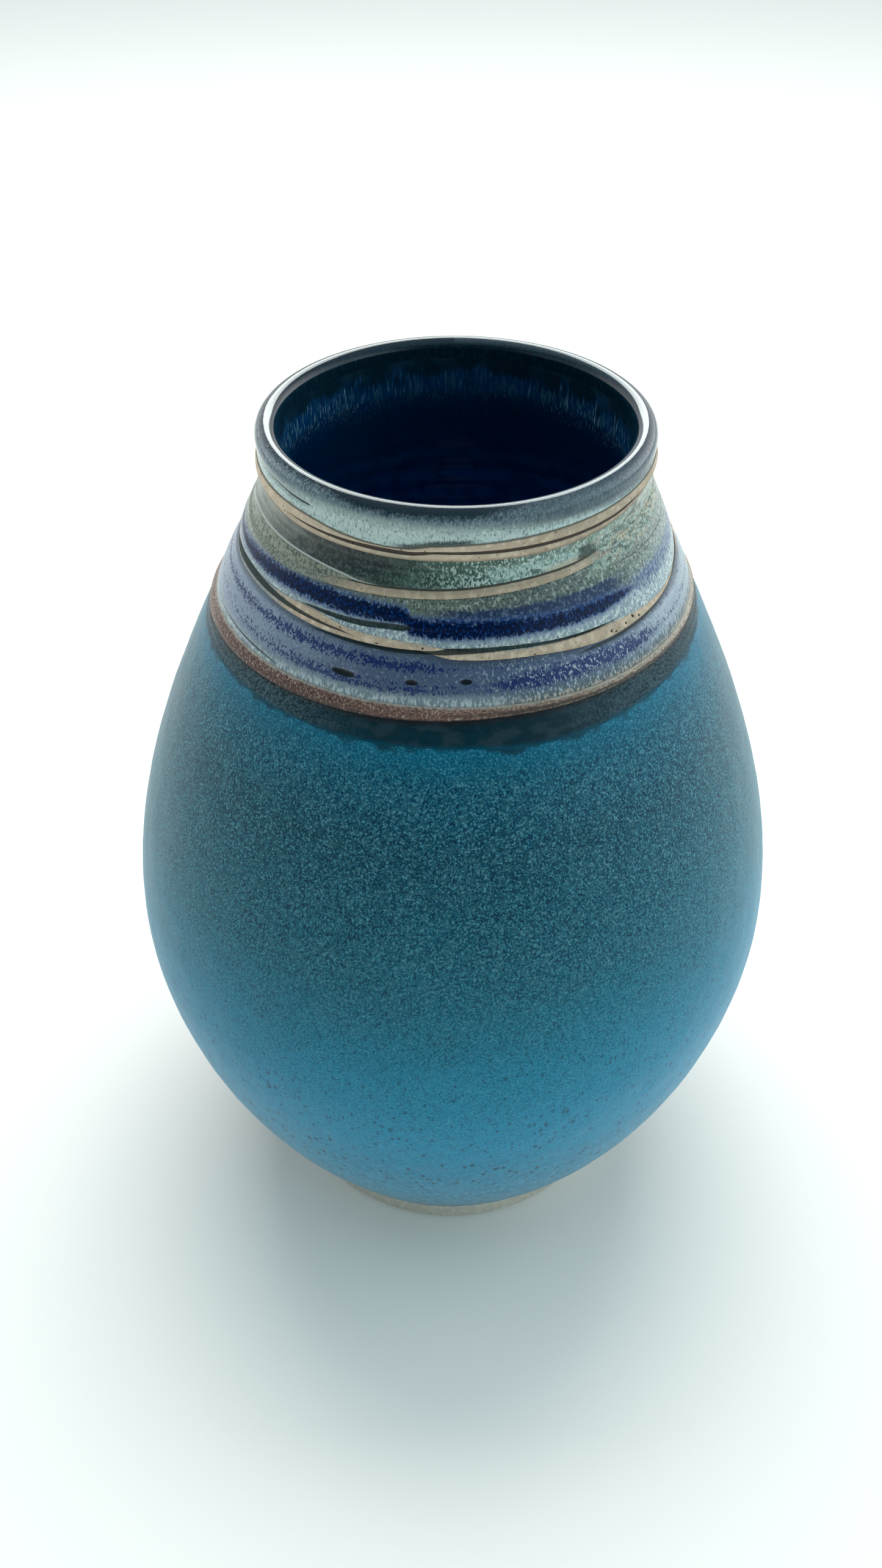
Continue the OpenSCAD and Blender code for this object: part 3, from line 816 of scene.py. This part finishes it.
SWELLS = [
    # between two edges, the surface swells or sinks by this much halfway
    (LIP_EDGE, CELADON_EDGE, -0.25),
    (CELADON_EDGE, RIDGE_1_EDGE, RIDGE_RISE),
    (RIDGE_1_EDGE, GREEN_EDGE, -GREEN_DIP),
    (GREEN_EDGE, RIDGE_2_EDGE, RIDGE_2_RISE),
    (RIDGE_2_EDGE, COBALT_EDGE, BAND_RISE),
    (COBALT_EDGE, RIDGE_3_EDGE, RIDGE_RISE),
    (RIDGE_3_EDGE, LAVENDER_EDGE, BAND_RISE),
    (LAVENDER_EDGE, COPPER_EDGE, COPPER_RISE),
]
GROOVE_BLUR = 0.14
# A stroke at least this wide to each side is cut to its full depth.
FULL_HALF = 0.2
# A slow wave left by throwing, which fades out below the neck.
WAVE_RISE, WAVE_LENGTH, WAVE_END = 0.035, 43.0, 50.0
ROLL_BLUR = 0.22
HIDDEN_UV = 0.06
SHARP_ANGLE = math.radians(50)
WELD_GAP = 1e-7


def relief(z):
    """How far the outer surface stands out from its plain profile, for rows of heights round the vase."""
    depth = CREST - z
    out = np.zeros_like(z)
    for upper, lower, rise in SWELLS:
        top, bottom = upper.at(ANGLES), lower.at(ANGLES)
        rise = rise.at(ANGLES) if isinstance(rise, Wander) else rise
        out += rise * np.sin(np.pi * np.clip((depth - top) / (bottom - top), 0, 1))
    for stroke in STROKES:
        half = stroke.half.at(ANGLES)
        cut = stroke.depth * np.clip(half / FULL_HALF, 0, 1)
        out -= cut * np.exp(-((depth - stroke.centre.at(ANGLES)) / (half + GROOVE_BLUR)) ** 2)
    for spot in SPOTS:
        across = (ANGLES - spot.angle) / (spot.half_w + 0.2)
        down = (depth - spot.depth) / (spot.half_h + 0.12)
        out -= spot.pit * np.exp(-(across ** 2 + down ** 2))
    throwing = WAVE_RISE * np.sin(TURN / 2 * depth / WAVE_LENGTH + np.radians(ANGLES))
    return out + throwing * np.clip((WAVE_END - depth) / 10.0, 0, 1)


def bumps(z, r, size, height, seed):
    """Small unevenness of the glaze, as rows of offsets."""
    out = np.empty_like(z)
    for i in range(z.shape[0]):
        for j in range(SEGMENTS):
            place = Vector((r[i, j] * SIN[j], -r[i, j] * COS[j], z[i, j])) / size
            out[i, j] = noise.noise(place + Vector((seed, 0, 0)))
    return out * height


def heights(top, bottom, count):
    """Rows of heights between two depths that may wander round the vase."""
    share = np.linspace(0, 1, count + 1)[:, None]
    top = top.at(ANGLES) if isinstance(top, Wander) else np.full(SEGMENTS, top)
    bottom = bottom.at(ANGLES) if isinstance(bottom, Wander) else np.full(SEGMENTS, bottom)
    return CREST - (top + (bottom - top) * share)


def outside(z):
    """Rows on the finished outer surface."""
    return outer_r(z) + relief(z), z


def stack(*parts):
    """Several (radii, heights) blocks of rows as one."""
    rows = [[np.broadcast_to(np.asarray(v, float), (np.shape(v)[0], SEGMENTS)) for v in part]
            for part in parts]
    return np.vstack([r for r, _ in rows]), np.vstack([z for _, z in rows])


def column(*values):
    """A few values, one to a row."""
    return np.array(values, float)[:, None]


def turned_mesh(name, rows, hidden, closed):
    """A mesh turned round the axis: rows of radii and heights, joined in a ring if closed, else to the axis.

    Hidden is how many of the last rows don't show, and get little of the UV map."""
    r, z = rows
    count = len(r)
    points = np.stack([r * SIN, -r * COS, z], -1) * MM
    steps = np.linalg.norm(np.diff(np.stack([r, z], -1), axis=0), axis=-1).mean(1)
    last = np.hypot(r[-1] - r[0], z[-1] - z[0]).mean()
    steps = np.append(steps, last) if closed else steps
    steps[len(steps) - hidden:] *= HIDDEN_UV
    v_at = np.concatenate([[0], np.cumsum(steps)]) / steps.sum()
    i = np.arange(len(steps))[:, None]
    j = np.arange(SEGMENTS)[None]
    below, beside = (i + 1) % count, (j + 1) % SEGMENTS
    quads = np.stack([i * SEGMENTS + j, i * SEGMENTS + beside,
                      below * SEGMENTS + beside, below * SEGMENTS + j], -1).reshape(-1, 4)
    uv = np.stack(np.broadcast_arrays(
        np.stack([j, j + 1, j + 1, j], -1) / SEGMENTS,
        np.stack([v_at[i], v_at[i], v_at[i + 1], v_at[i + 1]], -1)), -1).reshape(-1, 4, 2)
    flat = points.reshape(-1, 3)
    a, b, c, d = (flat[quads[:, k]] for k in range(4))
    volume = (np.cross(a, b) * c).sum() + (np.cross(a, c) * d).sum()
    if volume < 0:
        quads, uv = quads[:, ::-1], uv[:, ::-1]
    mesh = bpy.data.meshes.new(name)
    mesh.from_pydata(flat.tolist(), [], quads.tolist())
    layer = mesh.uv_layers.new(name="OFBake")
    layer.data.foreach_set("uv", uv.astype(np.float32).ravel())
    if not closed:
        close_poles(mesh)
    mesh.polygons.foreach_set("use_smooth", [True] * len(mesh.polygons))
    mesh.set_sharp_from_angle(angle=SHARP_ANGLE)
    mesh.update()
    piece = bpy.data.objects.new(name, mesh)
    bpy.context.scene.collection.objects.link(piece)
    return piece


def close_poles(mesh):
    """Joins the points of each row that lies on the axis."""
    work = bmesh.new()
    work.from_mesh(mesh)
    bmesh.ops.remove_doubles(work, verts=work.verts, dist=WELD_GAP)
    work.to_mesh(mesh)
    work.free()


def finish_piece(piece, node, material):
    """Gives the piece its material, puts it under the root body, and hides its CAD node."""
    piece.data.materials.append(material)
    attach(piece, "root")
    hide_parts(node)
    return piece


def coat(top, bottom, shown, backed, rolls, extra=None):
    """Rows of a glaze coat: its face, then its back on the clay. Rolls are how far its two edges sink."""
    z = heights(top, bottom, shown)
    r, _ = outside(z)
    if extra is not None:
        r = r + extra(z, r)
    share = np.linspace(0, 1, shown + 1)[:, None]
    length = (z[0] - z[-1]).mean()
    for roll, gap in zip(rolls, (share * length, (1 - share) * length)):
        r = r - roll * np.exp(-(gap / ROLL_BLUR) ** 2)
    back = heights(top, bottom, backed)[::-1]
    return stack((r, z), (outer_r(back) - COAT_T, back)), backed + 2


def lip_rows(inset, steps):
    """The lip from its outer face over the crest to its inner face, set in by a thickness."""
    rows_r, rows_z = [], []
    quarter = np.linspace(0, 90, steps + 1)
    for size, angles in ((LIP_OUT, quarter), (LIP_IN, quarter[1:] + 90)):
        for a in angles:
            rows_r.append(np.full(SEGMENTS, CREST_R + (size - inset) * math.cos(math.radians(a))))
            rows_z.append(np.full(SEGMENTS, CREST - size + (size - inset) * math.sin(math.radians(a))))
    return np.array(rows_r), np.array(rows_z)


def lip_glaze():
    start = heights(LIP_EDGE, 3.0, 3)[:-1]
    face = lip_rows(0.0, 16)
    end = np.linspace(CREST - LIP_IN, LIP_INNER_Z, 6)[1:, None] + np.zeros(SEGMENTS)
    back_end = end[::-1][::2]
    back = lip_rows(COAT_T, 6)
    rows = stack(outside(start), face, (np.full_like(end, CREST_R - LIP_IN), end),
                 (np.full_like(back_end, CREST_R - LIP_IN + COAT_T), back_end),
                 (back[0][::-1], back[1][::-1]),
                 (outer_r(start[:1]) - COAT_T, start[:1]))
    piece = turned_mesh("lip_glaze_skin", rows, len(back_end) + len(back[0]) + 2, True)
    return finish_piece(piece, "lip_glaze", lip_material())


def glaze_bands():
    """The five bands of the neck, and the iron band under them."""
    roll = 0.12
    for name, node, slot, top, bottom, shown, rolls, material in (
            ("celadon_band", "celadon_glaze", "celadon_glaze", LIP_EDGE, CELADON_EDGE, 16,
             (0, roll), celadon_material),
            ("green_band", "green_glaze", "green_glaze", RIDGE_1_EDGE, GREEN_EDGE, 28,
             (roll, roll), green_material),
            ("cobalt_band", "cobalt_glaze", "cobalt_glaze", RIDGE_2_EDGE, COBALT_EDGE, 40,
             (roll, roll), cobalt_material),
            ("lavender_band", "lavender_glaze", "lavender_glaze", RIDGE_3_EDGE, LAVENDER_EDGE, 42,
             (roll, 0.15), lavender_material),
            ("copper_band", "copper_line", "copper_glaze", LAVENDER_EDGE, COPPER_EDGE, 14,
             (0.0, roll), copper_material),
            ("iron_band_coat", "iron_band", "iron_glaze", COPPER_EDGE, IRON_EDGE, 16,
             (0.05, 0.0), iron_material)):
        rows, hidden = coat(top, bottom, shown, 4, rolls)
        finish_piece(turned_mesh(name, rows, hidden, True), node, material())


def turquoise_body():
    def uneven(z, r):
        return bumps(z, r, 7.0, 0.1, 3.0) + bumps(z, r, 2.6, 0.05, 9.0)
    foot = Wander(*[(a, CREST - FOOT_H + v) for a, v in FOOT_EDGE_WAVE.points])
    rows, hidden = coat(IRON_EDGE, foot, 132, 20, (0.0, 0.35), uneven)
    piece = turned_mesh("turquoise_coat", rows, hidden, True)
    return finish_piece(piece, "turquoise_glaze", turquoise_material())


def clay_wall():
    """The thrown wall: under its coats it is plain, and at the three ridges it shows."""
    def under(top, bottom, count):
        z = heights(top, bottom, count)
        return outer_r(z) - COAT_T, z

    def bare(top, bottom, count):
        return outside(heights(top, bottom, count))

    foot = CREST - FOOT_H
    lip = lip_rows(COAT_T, 6)
    inside_z = np.linspace(CREST - LIP_IN, FLOOR_Z + FLOOR_ROUND, 24)[1:, None] + np.zeros(SEGMENTS)
    corner_r, corner_z = corner_rows(COAT_T, 6)
    rows = stack(
        (lip[0][::-1], lip[1][::-1]), under(3.2, CELADON_EDGE, 2), bare(CELADON_EDGE, RIDGE_1_EDGE, 16),
        under(RIDGE_1_EDGE, GREEN_EDGE, 2), bare(GREEN_EDGE, RIDGE_2_EDGE, 9),
        under(RIDGE_2_EDGE, COBALT_EDGE, 2), bare(COBALT_EDGE, RIDGE_3_EDGE, 12),
        under(RIDGE_3_EDGE, LAVENDER_EDGE, 2), under(LAVENDER_EDGE, COPPER_EDGE, 1)[:2],
        under(COPPER_EDGE, foot, 26),
        (column(FOOT_R - FOOT_W, FOOT_R - FOOT_W, 0), column(FOOT_H, RECESS_H, RECESS_H)),
    )
    inner = stack(
        (np.zeros((1, SEGMENTS)), np.full((1, SEGMENTS), FLOOR_Z - COAT_T)),
        (corner_r[:0:-1], corner_z[:0:-1]),
        (inner_r(inside_z[::-1]) + COAT_T, inside_z[::-1]),
    )
    rows = stack(inner, rows)
    piece = turned_mesh("clay_wall", rows, 1, False)
    return finish_piece(piece, "thrown_wall", clay_material())


def foot_ring():
    inner = FOOT_R - FOOT_W
    rise = np.linspace(FOOT_EDGE, FOOT_H, 14)[:, None]
    lines = 0.05 * np.sin(rise * 7.0) + np.zeros((1, SEGMENTS))
    taper = GLAZE_ROLL * (rise - FOOT_EDGE) / (FOOT_H - FOOT_EDGE)
    outer = FOOT_R - taper + lines * np.clip(FOOT_H - rise, 0, 1)
    rows = stack(
        (outer[::-1], rise[::-1]),
        (column(FOOT_R - FOOT_EDGE * 0.3, FOOT_R - FOOT_EDGE), column(FOOT_EDGE * 0.3, 0)),
        (column(inner + FOOT_EDGE, inner + FOOT_EDGE * 0.3, inner), column(0, FOOT_EDGE * 0.3, FOOT_EDGE)),
        (column(inner), column(FOOT_H)),
    )
    piece = turned_mesh("foot_ring_clay", rows, 1, True)
    return finish_piece(piece, "foot_ring", foot_material())


def corner_rows(gap, steps):
    """The rounded corner between floor and wall, from the wall down, set into the clay by a gap."""
    turn = np.radians(np.linspace(0, 90, steps + 1)[:, None])
    corner = FLOOR_Z + FLOOR_ROUND
    middle = float(inner_r(corner)) - FLOOR_ROUND
    return middle + (FLOOR_ROUND + gap) * np.cos(turn), corner - (FLOOR_ROUND + gap) * np.sin(turn)


def liner():
    """The glaze poured inside: floor, rounded corner and wall, with the throwing rings showing through."""
    corner = FLOOR_Z + FLOOR_ROUND
    face_r, face_z = corner_rows(0.0, 12)
    back_r, back_z = corner_rows(COAT_T, 12)
    flat_r = np.linspace(0, face_r[-1, 0], 8)[:-1, None]
    wall = np.linspace(corner, DRIP_Z, 110)[1:, None] + np.zeros(SEGMENTS)
    rings = 0.25 * np.sin(wall / 1.15 + np.radians(ANGLES)) * np.clip((wall - corner) / 10, 0, 1)
    rings = rings * np.clip((DRIP_Z - wall) / 6, 0, 1)
    back = np.linspace(DRIP_Z, corner, 16)[:, None]
    rows = stack(
        (flat_r, np.full_like(flat_r, FLOOR_Z)),
        (face_r[::-1], face_z[::-1]),
        (inner_r(wall) + rings, wall),
        (inner_r(back) + COAT_T, back),
        (back_r[1:], back_z[1:]),
        (column(0), column(FLOOR_Z - COAT_T)),
    )
    piece = turned_mesh("liner_coat", rows, len(back) + len(back_r), False)
    return finish_piece(piece, "liner_glaze", liner_material())


def drips():
    """The drip band inside the neck, with the runs standing a little proud."""
    z = np.linspace(LIP_INNER_Z, DRIP_Z, 61)[:, None] + np.zeros(SEGMENTS)
    r = inner_r(z)
    runs = bumps(z * 0.12, r, 1.1, 0.12, 5.0)
    runs = runs * np.clip((z - DRIP_Z) / 2, 0, 1) * np.clip((LIP_INNER_Z - z) / 2, 0, 1)
    back = np.linspace(DRIP_Z, LIP_INNER_Z, 7)[:, None]
    rows = stack((r - runs, z), (inner_r(back) + COAT_T, back))
    piece = turned_mesh("drip_coat", rows, len(back) + 1, True)
    return finish_piece(piece, "inner_drip_glaze", drip_material())


# ---------------------------------------------------------------- stage, light and camera

def stage():
    mesh = bpy.data.meshes.new("floor")
    half = 20.0
    corners = [(-half, -half, 0), (half, -half, 0), (half, half, 0), (-half, half, 0)]
    mesh.from_pydata(corners, [], [(0, 1, 2, 3)])
    floor = bpy.data.objects.new("floor", mesh)
    bpy.context.scene.collection.objects.link(floor)
    paper = bpy.data.materials.new("paper")
    paper.use_nodes = True
    shader = paper.node_tree.nodes["Principled BSDF"]
    shader.inputs["Base Color"].default_value = srgb(235, 235, 230)
    shader.inputs["Roughness"].default_value = 0.9
    mesh.materials.append(paper)


def area_light(name, place, aim, size, power, colour):
    data = bpy.data.lights.new(name, "AREA")
    data.shape, data.size, data.size_y = "RECTANGLE", *size
    data.energy, data.color = power, colour
    lamp = bpy.data.objects.new(name, data)
    lamp.location = place
    lamp.rotation_euler = (Vector(aim) - Vector(place)).to_track_quat("-Z", "Y").to_euler()
    bpy.context.scene.collection.objects.link(lamp)
    return lamp


def lighting():
    """A room bright low down behind and at the sides, a softbox, and a window seen only in reflections."""
    world = bpy.data.worlds.new("studio")
    bpy.context.scene.world = world
    world.use_nodes = True
    tree = world.node_tree
    background = tree.nodes["Background"]
    way = tree.nodes.new("ShaderNodeTexCoord").outputs["Generated"]
    split = tree.nodes.new("ShaderNodeSeparateXYZ")
    tree.links.new(way, split.inputs[0])
    x, y, z = (Num(tree, output) for output in split.outputs)

    low_sky = fade(z, 0.75, 0.3)
    behind = fade(y, -0.15, 0.6) * low_sky
    sides = fade(abs(x), 0.45, 0.95) * low_sky
    right = fade(x, 0.2, 0.9) * low_sky
    right_high = fade(x, 0.3, 0.9) * fade(z, 0.9, 0.55)
    strength = (behind * 1.1 + sides * 0.75 + right * 0.75 + right_high * 0.7
                + fade(z, 0.45, 0.95) * 0.82 + 0.11)
    join(strength, background.inputs["Strength"])
    cool_front, white_back = (0.7, 0.92, 1.0, 1.0), (1.0, 1.0, 1.0, 1.0)
    join(mix(cool_front, white_back, fade(y, -0.4, 0.5)), background.inputs["Color"])
    softbox = area_light("back_softbox", place=(0.0, 0.62, 1.58), aim=(0, 0.1, 0), size=(1.3, 0.6),
                         power=21.0, colour=(1.0, 0.99, 0.97))
    softbox.visible_glossy = False
    window = area_light("window", place=(0.0, 1.3, 1.2), aim=(0, 0, 0.23), size=(1.0, 1.0),
                        power=32.0, colour=(0.92, 1.0, 0.97))
    window.visible_diffuse = False
    window.visible_camera = False


def camera():
    data = bpy.data.cameras.new("camera")
    data.lens, data.sensor_width = 26.64, 36.0
    data.clip_start, data.clip_end = 0.01, 50.0
    view = bpy.data.objects.new("camera", data)
    view.location = (-0.0030, -0.2207, 0.3324)
    view.rotation_euler = (math.radians(47.30), 0, 0)
    bpy.context.scene.collection.objects.link(view)
    bpy.context.scene.camera = view


camera()
lip_glaze()
glaze_bands()
turquoise_body()
clay_wall()
foot_ring()
liner()
drips()
stage()
lighting()
bpy.context.scene.view_settings.view_transform = "Standard"
